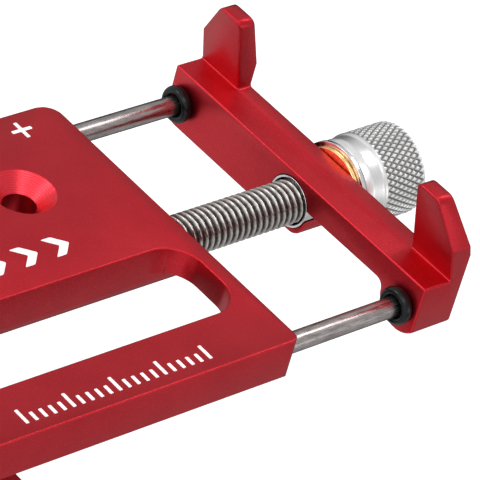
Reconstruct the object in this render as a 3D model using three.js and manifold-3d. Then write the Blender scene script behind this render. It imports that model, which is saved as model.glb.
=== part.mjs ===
// Phone handlebar mount: a machined aluminium holder with a screw-driven jaw, swivelling on a split
// handlebar clamp. Millimetres, +Z up. The origin is the centre of the handlebar bore, whose axis is X.
// The jaw slides along +X; +Y is the back of the holder.
import * as THREE from 'three';
import { mergeVertices } from 'three/addons/utils/BufferGeometryUtils.js';
import Module from 'manifold-3d';

const wasm = await Module();
wasm.setup();

// ---- driving dimensions ----------------------------------------------------------------------
const GAP = 0.3;                  // clearance kept between neighbouring solids
const REACH = 4;                  // how far a bore's cutter runs past the face that it opens
const MARGIN = 1;                 // the same for slabs and pockets
const WELD = 1e-4;                // points closer than this are one
const EDGE = 0.4;                 // chamfer on small turned parts

// holder plate, in the holder's own frame: x = 0 at its right edge, y = 0 on the screw, z = 0 on top
const PLATE_LENGTH = 49.5;        // flat top, from the fixed ledge to the right edge
const PLATE_WIDTH = 50.5;
const PLATE_THICK = 7.4;
const BACK_CORNER = 2.6;
const FRONT_CORNER = 1.2;
const END_BEVEL = 1.5;            // along the lower edge of the right end
const WEB_THICK = 3.95;           // thin front half of the plate, where the slot is
const RIB_EDGE = -4.09;           // front wall of the thick back half
const RIB_FILLET = 2.4;
const RIB_BLEND = 1.3;            // concave blend from the web into the front rib
const RIB_BLEND_ANGLE = 0.35;
const SLOT_NEAR = -17.05;
const SLOT_END = -2.2;
const SLOT_CORNER = 4.6;
const HOLE_Y = 11.8;
const HOLE_INSET = 14.85;         // hole centres from either end of the plate
const HOLE_R = 2.25;
const SINK_R = 4.4;

// guide rods and lead screw
const ROD_Y = 22.2;
const AXIS_Z = -3.8;
const ROD_R = 1.33;
const SCREW_R = 2.95;
const ROD_LENGTH = 52;            // from the jaw face to a rod's free end
const BORE_END = -52.5;           // bottom of the blind bores in the plate
const ROD_SOCKET = 5;

// moving jaw: a bar across the rods with two claws
const JAW_X = 20.6;               // inner face at rest
const JAW_DEPTH = 6.7;
const JAW_TOP = 0.65;
const JAW_BOTTOM = -7.75;
const JAW_RELIEF = -3.2;          // underside of the thin front stretch
const JAW_STEP_Y = -3.5;
const JAW_STEP_FILLET = 2.3;
const JAW_BACK = 24.8;            // back end of the jaw; its front end is flush with the plate
const CLAW_SETBACK = 4.35;        // ledge in front of a claw
const CLAW_TOP = 12;
const CLAW_INNER_Y = 17.7;
const CLAW_SHOULDER_Z = 5.7;      // where the slanted outer corner starts
const CLAW_CROWN_Y = 21.7;
const CLAW_TIP_R = 1;             // rounds the crown's inner corner
const CLAW_BLEND = [0.6, 0.5, 0.8];  // crown's outer corner: start, then the step outward and down
const CLAW_ROOT = 0.5;            // sunk into the bar so that the two join
const CLAW_LEAN = 0.268;          // inner face, sideways travel for each millimetre of height
const CLAW_BACK_LEAN = 0.36;
const CLAW_BACK_Z = 4.2;

// small parts on the rods and the screw
const O_RING_R = 2.55;
const O_RING_THICK = 1.5;
const O_RING_GRIP = 0.05;         // clearance left round the rod
const O_RING_SEAT = 0.1;          // and off the jaw
const O_RING_SIDES = 12;
const SLEEVE_R = 3.5;
const SLEEVE_BORE = 3.2;
const SLEEVE_PROUD = 0.15;
const SLEEVE_LENGTH = 2.2;
const SLEEVE_POCKET = 3.4;        // depth of the jaw's counterbore for the sleeve and the clip
const CLIP_GROOVE_R = 2.3;
const CLIP_GROOVE = 0.9;
const CLIP_THICK = 0.7;
const CLIP_MOUTH = 2.2;
const WASHER_THICK = 0.6;
const BRASS_R = 5.5;
const STEEL_R = 6.1;
const BRASS_START = 27.35;
const STEEL_START = 28;
const KNOB_R = 6.2;
const KNOB_NECK_R = 5.95;
const KNOB_START = 28.75;
const KNOB_HEAD_START = 31.9;
const KNOB_END = 39.3;
const KNOB_BORE_END = 38.2;
const KNOB_STEP_R = 5.3;          // small shoulder that faces the washers
const KNOB_STEP = 0.35;
const KNOB_BORE_R = 3.05;
const SCREW_TIP = 0.8;            // chamfer at the screw's free end
const GRUB_R = 1.25;
const GRUB_X = 30.85;
const GRUB_ANGLE = -110;          // degrees, turned away from the top
const GRUB_SOCKET_R = 0.65;
const GRUB_SOCKET = 1.05;

// handlebar clamp
const BAR_R = 11.1;               // 22.2 mm handlebar
const LINER_R = 15.9;
const RING_R = 20.5;
const CLAMP_WIDTH = 18;
const CLAMP_SPLIT = 0.9;          // half of the gap between saddle and cap
const EAR_REACH = 26.5;
const EAR_THICK = 6.5;
const EAR_ROUND = 1.5;
const BOLT_Y = 21.8;
const BOLT_R = 2.5;
const BOLT_HEAD_R = 4.25;
const BOLT_HEAD = 5;
const BOLT_WASHER_R = 4.85;
const BOLT_GRIP = 14;             // bolt length below its head
const BOLT_SOCKET_R = 2.3;
const BOLT_SOCKET = 2.6;
const BOLT_ROOF = 1;              // metal left over the saddle's blind bolt holes
const PAD_TOP = 24;               // top of the saddle above the bore's centre
const PAD_HALF = 10;
const PAD_CHAMFER = 1.2;
const SWIVEL_R = 2;
const SWIVEL_WASHER_R = 7;
const SWIVEL_LENGTH = 14;
const SWIVEL_FLOOR = 1.2;         // metal left between the screw's hole and the liner
const SWIVEL_HEAD_R = 3.4;
const SWIVEL_SINK = 0.5;          // head below the plate's top
const SWIVEL_RIM = 0.15;
const SWIVEL_SOCKET_R = 1.45;
const SWIVEL_SOCKET = 1.6;

// where the holder stands over the clamp
const HOLDER_X = PLATE_LENGTH - HOLE_INSET;
const HOLDER_Y = -HOLE_Y;
const HOLDER_Z = PAD_TOP + WASHER_THICK + 2 * GAP + PLATE_THICK;

// ---- materials -------------------------------------------------------------------------------
const finish = (color, roughness, metalness) =>
  new THREE.MeshStandardMaterial({ color, roughness, metalness });
const redAnodised = finish(0xa8202c, 0.42, 0.75);
const steel = finish(0x9a9794, 0.3, 1);
const screwSteel = finish(0x6f6a66, 0.35, 1);
const silver = finish(0xcfd0d2, 0.28, 1);
const brass = finish(0xd79a55, 0.3, 1);
const rubber = finish(0x17191b, 0.55, 0);
const blackSteel = finish(0x25262a, 0.4, 0.9);

// ---- solid helpers ---------------------------------------------------------------------------
function solidOf(geometry) {
  const bare = geometry.clone();
  bare.deleteAttribute('normal');
  bare.deleteAttribute('uv');
  const merged = mergeVertices(bare, WELD);
  return new wasm.Manifold(new wasm.Mesh({
    numProp: 3,
    vertProperties: new Float32Array(merged.attributes.position.array),
    triVerts: new Uint32Array(merged.index.array),
  }));
}

function geometryOf(solid) {
  const mesh = solid.getMesh();
  const geometry = new THREE.BufferGeometry();
  geometry.setAttribute('position', new THREE.BufferAttribute(mesh.vertProperties, 3));
  geometry.setIndex(new THREE.BufferAttribute(mesh.triVerts, 1));
  geometry.computeVertexNormals();
  return geometry;
}

function piece(name, solid, material) {
  const mesh = new THREE.Mesh(geometryOf(solid), material);
  mesh.name = name;
  return mesh;
}

function box(x0, x1, y0, y1, z0, z1) {
  const geometry = new THREE.BoxGeometry(x1 - x0, y1 - y0, z1 - z0);
  return solidOf(geometry.translate((x0 + x1) / 2, (y0 + y1) / 2, (z0 + z1) / 2));
}

// Prism over an outline drawn in x and y, from z0 up to z1.
function prismZ(shape, z0, z1, curveSegments = 10) {
  const geometry = new THREE.ExtrudeGeometry(shape, { depth: z1 - z0, bevelEnabled: false, curveSegments });
  return solidOf(geometry.translate(0, 0, z0));
}

// Prism over an outline drawn in y and z, from x0 along to x1.
function prismX(shape, x0, x1, curveSegments = 10) {
  const geometry = new THREE.ExtrudeGeometry(shape, { depth: x1 - x0, bevelEnabled: false, curveSegments });
  const turn = new THREE.Matrix4().makeBasis(
    new THREE.Vector3(0, 1, 0), new THREE.Vector3(0, 0, 1), new THREE.Vector3(1, 0, 0));
  return solidOf(geometry.applyMatrix4(turn).translate(x0, 0, 0));
}

// Prism over an outline drawn in x and z, from y0 along to y1.
function prismY(shape, y0, y1) {
  const geometry = new THREE.ExtrudeGeometry(shape, { depth: y1 - y0, bevelEnabled: false });
  geometry.rotateX(Math.PI / 2);
  return solidOf(geometry.translate(0, y1, 0));
}

// Turned solid from [radius, height] points that start and end on the axis or close on themselves.
function turned(points, segments) {
  const geometry = new THREE.LatheGeometry(points.map(([r, h]) => new THREE.Vector2(r, h)), segments);
  return solidOf(geometry);
}

// The same, with the height running along +X from the point (0, y, z).
function turnedX(points, y, z, segments = 32) {
  return turned(points, segments).rotate([0, 0, -90]).translate([0, y, z]);
}

// The same, with the height running along +Z from the point (x, y, 0).
function turnedZ(points, x, y, segments = 32) {
  return turned(points, segments).rotate([90, 0, 0]).translate([x, y, 0]);
}

const rodX = (r, x0, x1, y, z, segments) => turnedX([[0, x0], [r, x0], [r, x1], [0, x1]], y, z, segments);
const rodZ = (r, z0, z1, x, y, segments) => turnedZ([[0, z0], [r, z0], [r, z1], [0, z1]], x, y, segments);

// Ring with a square section between two radii.
const ringPoints = (inner, outer, h0, h1) =>
  [[inner, h0], [outer, h0], [outer, h1], [inner, h1], [inner, h0]];

// Shaft from h0 to h1 with an equal chamfer at each end.
const shaftPoints = (r, h0, h1, c) =>
  [[0, h0], [r - c, h0], [r, h0 + c], [r, h1 - c], [r - c, h1], [0, h1]];

// Rectangle with rounded corners: `front` is the radius at y0 and `back` the one at y1.
function roundedRect(x0, x1, y0, y1, front, back = front) {
  const shape = new THREE.Shape();
  shape.absarc(x1 - front, y0 + front, front, -Math.PI / 2, 0);
  shape.absarc(x1 - back, y1 - back, back, 0, Math.PI / 2);
  shape.absarc(x0 + back, y1 - back, back, Math.PI / 2, Math.PI);
  shape.absarc(x0 + front, y0 + front, front, Math.PI, Math.PI * 1.5);
  return shape;
}

// ---- shared section of plate and jaw -----------------------------------------------------------
// Cross-section in y and z: full height at the back, a thin web in front of the screw, and a rounded
// rib around each guide rod. Both the plate and the jaw are cut from it.
function railSection(top, bottom, webZ, stepY, fillet) {
  const half = PLATE_WIDTH / 2;
  const ribR = AXIS_Z - bottom;
  const flank = Math.acos((half - ROD_Y) / ribR);
  const webAngle = Math.asin((webZ - AXIS_Z) / ribR);
  const shape = new THREE.Shape();
  shape.moveTo(-half, top);
  shape.lineTo(-half, AXIS_Z - ribR * Math.sin(flank));
  shape.absarc(-ROD_Y, AXIS_Z, ribR, Math.PI + flank, 2 * Math.PI + webAngle - RIB_BLEND_ANGLE);
  const blendY = -ROD_Y + ribR * Math.cos(webAngle);
  shape.quadraticCurveTo(blendY, webZ, blendY + RIB_BLEND, webZ);
  shape.lineTo(stepY, webZ);
  shape.lineTo(stepY, bottom + fillet);
  shape.absarc(stepY + fillet, bottom + fillet, fillet, Math.PI, Math.PI * 1.5);
  shape.lineTo(ROD_Y, bottom);
  shape.absarc(ROD_Y, AXIS_Z, ribR, -Math.PI / 2, -flank);
  shape.lineTo(half, top);
  return shape;
}

// Two claws that stand on a bar: leaning inner face, slanted outer corner, narrow crown. Here x = 0 is
// the foot of the inner face, z = 0 the bar's top, and the back face is at backX, facing +X.
function clawPair(backX, backEnd) {
  const rise = CLAW_TOP - JAW_TOP;
  const front = PLATE_WIDTH / 2;
  const side = new THREE.Shape();
  side.moveTo(0, -CLAW_ROOT);
  side.lineTo(backX, -CLAW_ROOT);
  side.lineTo(backX, CLAW_BACK_Z - JAW_TOP);
  side.lineTo(backX - CLAW_BACK_LEAN * (CLAW_TOP - CLAW_BACK_Z), rise);
  side.lineTo(-CLAW_LEAN * rise, rise);
  side.lineTo(0, 0);
  const slab = prismY(side, -front - MARGIN, front + MARGIN);
  const [blendStart, blendOut, blendDown] = CLAW_BLEND;
  const face = new THREE.Shape();
  face.moveTo(-front, -CLAW_ROOT);
  face.lineTo(-CLAW_INNER_Y, -CLAW_ROOT);
  face.absarc(-CLAW_INNER_Y - CLAW_TIP_R, rise - CLAW_TIP_R, CLAW_TIP_R, 0, Math.PI / 2);
  face.lineTo(-CLAW_CROWN_Y + blendStart, rise);
  face.quadraticCurveTo(-CLAW_CROWN_Y, rise, -CLAW_CROWN_Y - blendOut, rise - blendDown);
  face.lineTo(-front, CLAW_SHOULDER_Z - JAW_TOP);
  const claw = prismX(face, -rise, backX + REACH, 6);
  const mirrored = claw.mirror([0, 1, 0]).translate([0, backEnd - front, 0]);
  return slab.intersect(claw.add(mirrored));
}

// ---- holder plate ------------------------------------------------------------------------------
function basePlate() {
  const ledge = -PLATE_LENGTH;
  const left = ledge - JAW_DEPTH;
  const half = PLATE_WIDTH / 2;
  const under = -PLATE_THICK - MARGIN;
  const rail = railSection(0, -PLATE_THICK, -WEB_THICK, RIB_EDGE, RIB_FILLET);
  let plate = prismX(rail, left, 0);
  // raised ledge under the two fixed claws
  plate = plate.add(box(left, ledge, -half, half, -MARGIN, JAW_TOP));
  const claws = clawPair(JAW_DEPTH - CLAW_SETBACK, half).mirror([1, 0, 0]);
  plate = plate.add(claws.translate([ledge - CLAW_SETBACK, 0, JAW_TOP]));
  const outline = roundedRect(left, 0, -half, half, FRONT_CORNER, BACK_CORNER);
  plate = plate.intersect(prismZ(outline, under, CLAW_TOP + MARGIN, 6));
  const wedge = new THREE.Shape();
  wedge.moveTo(-END_BEVEL, -PLATE_THICK);
  wedge.lineTo(MARGIN, -PLATE_THICK - END_BEVEL - MARGIN);
  wedge.lineTo(MARGIN, -PLATE_THICK + END_BEVEL + MARGIN);
  plate = plate.subtract(prismY(wedge, -half - MARGIN, half + MARGIN));
  const slot = roundedRect(ledge - SLOT_END, SLOT_END, SLOT_NEAR, RIB_EDGE, SLOT_CORNER);
  plate = plate.subtract(prismZ(slot, under, REACH, 8));
  const cone = [[0, under], [HOLE_R, under], [HOLE_R, HOLE_R - SINK_R], [SINK_R + MARGIN, MARGIN],
    [0, MARGIN]];
  for (const x of [-HOLE_INSET, ledge + HOLE_INSET]) {
    plate = plate.subtract(turnedZ(cone, x, HOLE_Y, 40));
  }
  for (const y of [-ROD_Y, ROD_Y]) {
    plate = plate.subtract(rodX(ROD_R + GAP, BORE_END, REACH, y, AXIS_Z, 20));
  }
  return plate.subtract(rodX(SCREW_R + GAP, BORE_END, REACH, 0, AXIS_Z, 32));
}

// ---- moving jaw --------------------------------------------------------------------------------
function movingJaw() {
  const outer = JAW_X + JAW_DEPTH;
  const half = PLATE_WIDTH / 2;
  const rail = railSection(JAW_TOP, JAW_BOTTOM, JAW_RELIEF, JAW_STEP_Y, JAW_STEP_FILLET);
  const bar = prismX(rail, JAW_X, outer);
  const claws = clawPair(JAW_DEPTH - CLAW_SETBACK, JAW_BACK).translate([JAW_X + CLAW_SETBACK, 0, JAW_TOP]);
  const front = -half - MARGIN;
  let jaw = bar.intersect(
    box(JAW_X - MARGIN, outer + MARGIN, front, JAW_BACK, JAW_BOTTOM - MARGIN, JAW_TOP + MARGIN));
  jaw = jaw.add(claws);
  for (const y of [-ROD_Y, ROD_Y]) {
    jaw = jaw.subtract(rodX(ROD_R + GAP, JAW_X - REACH, JAW_X + ROD_SOCKET + GAP, y, AXIS_Z, 20));
  }
  jaw = jaw.subtract(rodX(SCREW_R + GAP, JAW_X - REACH, outer + REACH, 0, AXIS_Z, 32));
  return jaw.subtract(rodX(SLEEVE_R + GAP / 2, JAW_X - REACH, JAW_X + SLEEVE_POCKET, 0, AXIS_Z, 32));
}

// ---- parts on the rods and the screw -----------------------------------------------------------
const guideRod = (y) =>
  turnedX(shaftPoints(ROD_R, JAW_X - ROD_LENGTH, JAW_X + ROD_SOCKET, EDGE), y, AXIS_Z, 20);

// O-ring: a round section bent into a circle, resting between the rod and the jaw.
function oRing(y) {
  const points = [];
  const bore = ROD_R + O_RING_GRIP;
  const mid = (O_RING_R + bore) / 2;
  const width = (O_RING_R - bore) / 2;
  for (let i = 0; i <= O_RING_SIDES; i += 1) {
    const a = (i % O_RING_SIDES) * 2 * Math.PI / O_RING_SIDES;
    const x = JAW_X - O_RING_SEAT - O_RING_THICK / 2 * (1 - Math.sin(a));
    points.push([mid + width * Math.cos(a), x]);
  }
  return turnedX(points, y, AXIS_Z, 32);
}

const screwSleeve = () => turnedX(
  ringPoints(SLEEVE_BORE, SLEEVE_R, JAW_X - SLEEVE_PROUD, JAW_X + SLEEVE_LENGTH), 0, AXIS_Z, 32);

// The clip sits in a groove of the screw, behind the sleeve, and carries the pull of the jaw.
function retainingClip() {
  const start = JAW_X + SLEEVE_LENGTH + (CLIP_GROOVE - CLIP_THICK);
  const points = ringPoints(CLIP_GROOVE_R + 0.1, SLEEVE_R - 0.05, start, start + CLIP_THICK);
  const mouth = box(start - MARGIN, start + CLIP_THICK + MARGIN, -CLIP_MOUTH / 2, CLIP_MOUTH / 2,
    AXIS_Z - SLEEVE_R - MARGIN, AXIS_Z);
  return turnedX(points, 0, AXIS_Z, 32).subtract(mouth);
}

function leadScrew() {
  const groove = JAW_X + SLEEVE_LENGTH + 0.1;
  const tip = JAW_X - ROD_LENGTH;
  const end = KNOB_BORE_END - 0.1;
  return turnedX([[0, tip], [SCREW_R - SCREW_TIP, tip], [SCREW_R, tip + SCREW_TIP], [SCREW_R, groove],
    [CLIP_GROOVE_R, groove], [CLIP_GROOVE_R, groove + CLIP_GROOVE], [SCREW_R, groove + CLIP_GROOVE],
    [SCREW_R, end - EDGE], [SCREW_R - EDGE, end], [0, end]], 0, AXIS_Z, 32);
}

function washerX(outer, start) {
  return turnedX(ringPoints(SCREW_R + GAP, outer, start, start + WASHER_THICK), 0, AXIS_Z, 36);
}

function thumbKnob() {
  const stepEnd = KNOB_START + KNOB_STEP;
  const body = turnedX([[KNOB_BORE_R, KNOB_START], [KNOB_STEP_R, KNOB_START], [KNOB_STEP_R, stepEnd],
    [KNOB_NECK_R - EDGE, stepEnd + EDGE], [KNOB_NECK_R, stepEnd + 3 * EDGE],
    [KNOB_NECK_R, KNOB_HEAD_START], [KNOB_R, KNOB_HEAD_START + EDGE], [KNOB_R, KNOB_END - EDGE],
    [KNOB_R - EDGE, KNOB_END], [0, KNOB_END], [0, KNOB_BORE_END], [KNOB_BORE_R, KNOB_BORE_END],
    [KNOB_BORE_R, KNOB_START]], 0, AXIS_Z, 48);
  const hole = rodZ(GRUB_R + 0.1, 0, KNOB_R + MARGIN, GRUB_X, 0, 16);
  return body.subtract(hole.rotate([GRUB_ANGLE, 0, 0]).translate([0, 0, AXIS_Z]));
}

function knobGrub() {
  const top = KNOB_NECK_R - EDGE;
  const grub = rodZ(GRUB_R, SCREW_R + 0.1, top, GRUB_X, 0, 16);
  const socket = rodZ(GRUB_SOCKET_R, top - GRUB_SOCKET, KNOB_R + MARGIN, GRUB_X, 0, 6);
  return grub.subtract(socket).rotate([GRUB_ANGLE, 0, 0]).translate([0, 0, AXIS_Z]);
}

// ---- handlebar clamp ---------------------------------------------------------------------------
// Half of the split clamp, drawn in y and z with the bore's centre at the origin; `side` is 1 for the
// saddle above the handlebar and -1 for the cap below it.
function clampHalf(side) {
  const shape = new THREE.Shape();
  const start = Math.asin(CLAMP_SPLIT / LINER_R);
  const earTop = CLAMP_SPLIT + EAR_THICK;
  const earCentre = EAR_REACH - EAR_ROUND;
  const shoulder = Math.asin(earTop / RING_R);
  shape.moveTo(LINER_R * Math.cos(start), CLAMP_SPLIT);
  shape.lineTo(earCentre, CLAMP_SPLIT);
  shape.absarc(earCentre, CLAMP_SPLIT + EAR_ROUND, EAR_ROUND, -Math.PI / 2, 0);
  shape.absarc(earCentre, earTop - EAR_ROUND, EAR_ROUND, 0, Math.PI / 2);
  shape.absarc(0, 0, RING_R, shoulder, Math.PI - shoulder);
  shape.absarc(-earCentre, earTop - EAR_ROUND, EAR_ROUND, Math.PI / 2, Math.PI);
  shape.absarc(-earCentre, CLAMP_SPLIT + EAR_ROUND, EAR_ROUND, Math.PI, Math.PI * 1.5);
  shape.lineTo(-LINER_R * Math.cos(start), CLAMP_SPLIT);
  shape.absarc(0, 0, LINER_R, Math.PI - start, start, true);
  const half = prismX(shape, -CLAMP_WIDTH / 2, CLAMP_WIDTH / 2, 14);
  return side > 0 ? half : half.mirror([0, 0, 1]);
}

function clampSaddle() {
  const pad = new THREE.Shape();
  pad.moveTo(-PAD_HALF, 0);
  pad.lineTo(PAD_HALF, 0);
  pad.lineTo(PAD_HALF, PAD_TOP - PAD_CHAMFER);
  pad.lineTo(PAD_HALF - PAD_CHAMFER, PAD_TOP);
  pad.lineTo(PAD_CHAMFER - PAD_HALF, PAD_TOP);
  pad.lineTo(-PAD_HALF, PAD_TOP - PAD_CHAMFER);
  let saddle = prismX(pad, -CLAMP_WIDTH / 2, CLAMP_WIDTH / 2);
  saddle = saddle.subtract(rodX(LINER_R, -CLAMP_WIDTH, CLAMP_WIDTH, 0, 0, 56));
  saddle = saddle.add(clampHalf(1));
  for (const y of [-BOLT_Y, BOLT_Y]) {
    saddle = saddle.subtract(rodZ(BOLT_R + GAP, -REACH, CLAMP_SPLIT + EAR_THICK - BOLT_ROOF, 0, y, 20));
  }
  return saddle.subtract(rodZ(SWIVEL_R + GAP, LINER_R + SWIVEL_FLOOR, PAD_TOP + REACH, 0, 0, 20));
}

function clampCap() {
  let cap = clampHalf(-1);
  for (const y of [-BOLT_Y, BOLT_Y]) {
    cap = cap.subtract(rodZ(BOLT_R + GAP, -RING_R, REACH, 0, y, 20));
    cap = cap.subtract(rodZ(BOLT_WASHER_R + GAP, -RING_R - MARGIN, -CLAMP_SPLIT - EAR_THICK, 0, y, 28));
  }
  return cap;
}

// Rubber half-liner that takes the clamp down to the handlebar's diameter.
function liner(side) {
  const shape = new THREE.Shape();
  const outer = LINER_R - GAP;
  const outerStart = Math.asin(CLAMP_SPLIT / outer);
  const innerStart = Math.asin(CLAMP_SPLIT / BAR_R);
  shape.absarc(0, 0, outer, outerStart, Math.PI - outerStart);
  shape.absarc(0, 0, BAR_R, Math.PI - innerStart, innerStart, true);
  const half = prismX(shape, -CLAMP_WIDTH / 2, CLAMP_WIDTH / 2, 14);
  return side > 0 ? half : half.mirror([0, 0, 1]);
}

// Socket-head bolt under an ear, its shank pointing up.
function clampBolt(y) {
  const seat = -CLAMP_SPLIT - EAR_THICK - WASHER_THICK - 2 * GAP;
  const foot = seat - BOLT_HEAD;
  const tip = seat + BOLT_GRIP;
  const bolt = turnedZ([[0, foot], [BOLT_HEAD_R - EDGE, foot], [BOLT_HEAD_R, foot + EDGE],
    [BOLT_HEAD_R, seat], [BOLT_R, seat], [BOLT_R, tip - EDGE], [BOLT_R - EDGE, tip], [0, tip]], 0, y, 24);
  return bolt.subtract(rodZ(BOLT_SOCKET_R, foot - MARGIN, foot + BOLT_SOCKET, 0, y, 6));
}

function boltWasher(y) {
  const top = -CLAMP_SPLIT - EAR_THICK - GAP;
  return turnedZ(ringPoints(BOLT_R + GAP, BOLT_WASHER_R, top - WASHER_THICK, top), 0, y, 28);
}

// Countersunk screw through the plate into the saddle; it is the swivel's pin.
function swivelScrew() {
  const face = HOLDER_Z - SWIVEL_SINK;
  const tip = face - SWIVEL_LENGTH;
  const rim = face - SWIVEL_RIM;
  const neck = rim - (SWIVEL_HEAD_R - SWIVEL_R);
  const screw = turnedZ([[0, tip], [SWIVEL_R - EDGE, tip], [SWIVEL_R, tip + EDGE], [SWIVEL_R, neck],
    [SWIVEL_HEAD_R, rim], [SWIVEL_HEAD_R, face], [0, face]], 0, 0, 28);
  return screw.subtract(rodZ(SWIVEL_SOCKET_R, face - SWIVEL_SOCKET, face + MARGIN, 0, 0, 6));
}

const swivelWasher = () => turnedZ(
  ringPoints(SWIVEL_R + GAP, SWIVEL_WASHER_R, PAD_TOP + GAP, PAD_TOP + GAP + WASHER_THICK), 0, 0, 36);

// ---- assembly ----------------------------------------------------------------------------------
const group = new THREE.Group();

const holder = new THREE.Group();
holder.position.set(HOLDER_X, HOLDER_Y, HOLDER_Z);
group.add(holder);

holder.add(piece('base_plate', basePlate(), redAnodised));
holder.add(piece('moving_jaw', movingJaw(), redAnodised));
for (const [side, y] of [['front', -ROD_Y], ['back', ROD_Y]]) {
  holder.add(piece(`guide_rod_${side}`, guideRod(y), steel));
  holder.add(piece(`o_ring_${side}`, oRing(y), rubber));
}
holder.add(piece('screw_sleeve', screwSleeve(), steel));
holder.add(piece('retaining_clip', retainingClip(), blackSteel));
holder.add(piece('lead_screw', leadScrew(), screwSteel));
holder.add(piece('brass_washer', washerX(BRASS_R, BRASS_START), brass));
holder.add(piece('steel_washer', washerX(STEEL_R, STEEL_START), silver));
holder.add(piece('thumb_knob', thumbKnob(), silver));
holder.add(piece('knob_grub', knobGrub(), blackSteel));

group.add(piece('clamp_saddle', clampSaddle(), redAnodised));
group.add(piece('clamp_cap', clampCap(), redAnodised));
group.add(piece('saddle_liner', liner(1), rubber));
group.add(piece('cap_liner', liner(-1), rubber));
group.add(piece('swivel_screw', swivelScrew(), steel));
group.add(piece('swivel_washer', swivelWasher(), rubber));
for (const [side, y] of [['front', -BOLT_Y], ['back', BOLT_Y]]) {
  group.add(piece(`clamp_bolt_${side}`, clampBolt(y), blackSteel));
  group.add(piece(`bolt_washer_${side}`, boltWasher(y), steel));
}

export default group;
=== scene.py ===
# %% [markdown]
# # A phone mount for a handlebar
# The mount is a red anodised plate with a jaw that slides on two steel rods. A lead screw with a
# knurled knob moves the jaw, and the plate turns on a clamp that grips the handlebar. The model that
# comes from the workshop has every piece at its true size but with plain faces. This notebook gives
# each piece its finished surface: cut threads, knurling, rounded edges, ribbed rubber and metal.

# %% Load the frame
import math

import bmesh
import bpy
import numpy as np
from mathutils import Matrix, Vector


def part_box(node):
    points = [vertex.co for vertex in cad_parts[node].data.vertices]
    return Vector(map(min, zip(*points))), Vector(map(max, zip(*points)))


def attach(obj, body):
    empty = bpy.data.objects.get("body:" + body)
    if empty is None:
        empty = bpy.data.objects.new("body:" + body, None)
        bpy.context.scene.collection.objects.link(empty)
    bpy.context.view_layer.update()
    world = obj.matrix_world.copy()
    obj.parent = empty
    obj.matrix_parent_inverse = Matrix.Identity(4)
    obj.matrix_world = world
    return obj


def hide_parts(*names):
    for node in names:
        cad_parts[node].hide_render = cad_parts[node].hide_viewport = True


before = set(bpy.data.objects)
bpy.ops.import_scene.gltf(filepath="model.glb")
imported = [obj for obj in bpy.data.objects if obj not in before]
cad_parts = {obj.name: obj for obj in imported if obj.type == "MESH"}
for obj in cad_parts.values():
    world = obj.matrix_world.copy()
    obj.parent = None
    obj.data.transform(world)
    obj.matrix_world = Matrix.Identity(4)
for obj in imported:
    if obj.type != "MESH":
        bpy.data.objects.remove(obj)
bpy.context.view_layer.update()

# %% [markdown]
# ## Where things are
# Machinists measure from faces and axes, so the script does too. The holder's own origin is on its
# right edge, over the lead screw, at the height of the plate's top. All the sizes below are in
# millimetres from there, and one function turns such a point into metres in the model's frame.

# %% Reference faces and axes
MM = 0.001
CLAW_HEIGHT = 12.0          # claw tips above the plate's top
AXIS_DEPTH = 3.8            # rods and lead screw below the plate's top
plate_low, plate_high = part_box("base_plate")
screw_low, screw_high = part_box("lead_screw")
screw_y = (screw_low.y + screw_high.y) / 2
plate_top = plate_high.z - CLAW_HEIGHT * MM
HOLDER = np.array([plate_high.x, screw_y, plate_top])


def in_holder(points):
    """Millimetres in the holder's own frame become metres in the model's frame."""
    return np.asarray(points, float) * MM + HOLDER


def node_centre(node):
    """The middle of a node's box, in metres."""
    low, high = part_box(node)
    return np.array((low + high) / 2)


print("holder origin, m:", np.round(HOLDER, 5))

# %% [markdown]
# ## Surfaces from grids
# A turned part, a thread or a knurl is one radius for each angle and each step along its axis. So
# the whole surface is a grid: the angle runs one way and the profile the other. The grid is worked
# out as arrays and handed to the mesh in one go, which is quick and leaves no loop over points.

# %% Grid to mesh
SHARP_ANGLE = math.radians(38)


def finish_mesh(mesh, bm):
    """Closes the seams, points the faces outward and shades the gentle edges smooth."""
    bmesh.ops.remove_doubles(bm, verts=bm.verts, dist=1e-7)
    bmesh.ops.recalc_face_normals(bm, faces=bm.faces)
    bm.to_mesh(mesh)
    bm.free()
    mesh.polygons.foreach_set("use_smooth", np.ones(len(mesh.polygons), bool))
    mesh.set_sharp_from_angle(angle=SHARP_ANGLE)
    mesh.update()


def add_object(name, mesh):
    piece = bpy.data.objects.new(name, mesh)
    bpy.context.scene.collection.objects.link(piece)
    return piece


def grid_piece(name, points, around=True, along=False, caps=False, depth=None):
    """A grid of points, rows by columns, becomes quads; `around` joins the last row to the first,
    `along` the last column to the first, and `caps` closes the first and the last row. `depth` is
    a value for each point that the finish may read."""
    rows, columns = points.shape[:2]
    row = np.arange(rows if around else rows - 1)
    column = np.arange(columns if along else columns - 1)
    r, c = np.meshgrid(row, column, indexing="ij")
    r2, c2 = (r + 1) % rows, (c + 1) % columns
    quads = np.stack([r * columns + c, r2 * columns + c, r2 * columns + c2, r * columns + c2], -1)
    faces = quads.reshape(-1, 4).tolist()
    if caps:
        first = np.arange(columns)
        faces += [first.tolist(), (first + (rows - 1) * columns).tolist()]
    mesh = bpy.data.meshes.new(name)
    mesh.from_pydata(points.reshape(-1, 3), [], faces)
    if depth is not None:
        mesh.attributes.new("depth", "FLOAT", "POINT").data.foreach_set("value", depth.ravel())
    bm = bmesh.new()
    bm.from_mesh(mesh)
    finish_mesh(mesh, bm)
    return add_object(name, mesh)


def around_axis(name, radius, height, centre, axis="x", depth=None):
    """Radius and height are given for each angle and each profile point, in millimetres. The point
    is the centre, plus the height along the axis, plus the radius times cosine and sine."""
    angle = np.linspace(0, 2 * np.pi, radius.shape[0], endpoint=False)[:, None]
    side, up = radius * np.cos(angle), radius * np.sin(angle)
    height = np.broadcast_to(height, radius.shape)
    parts = [height, side, up] if axis == "x" else [side, up, height]
    points = np.stack(parts, -1) * MM + np.asarray(centre)
    return grid_piece(name, points, depth=depth)


print("grids ready")

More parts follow.
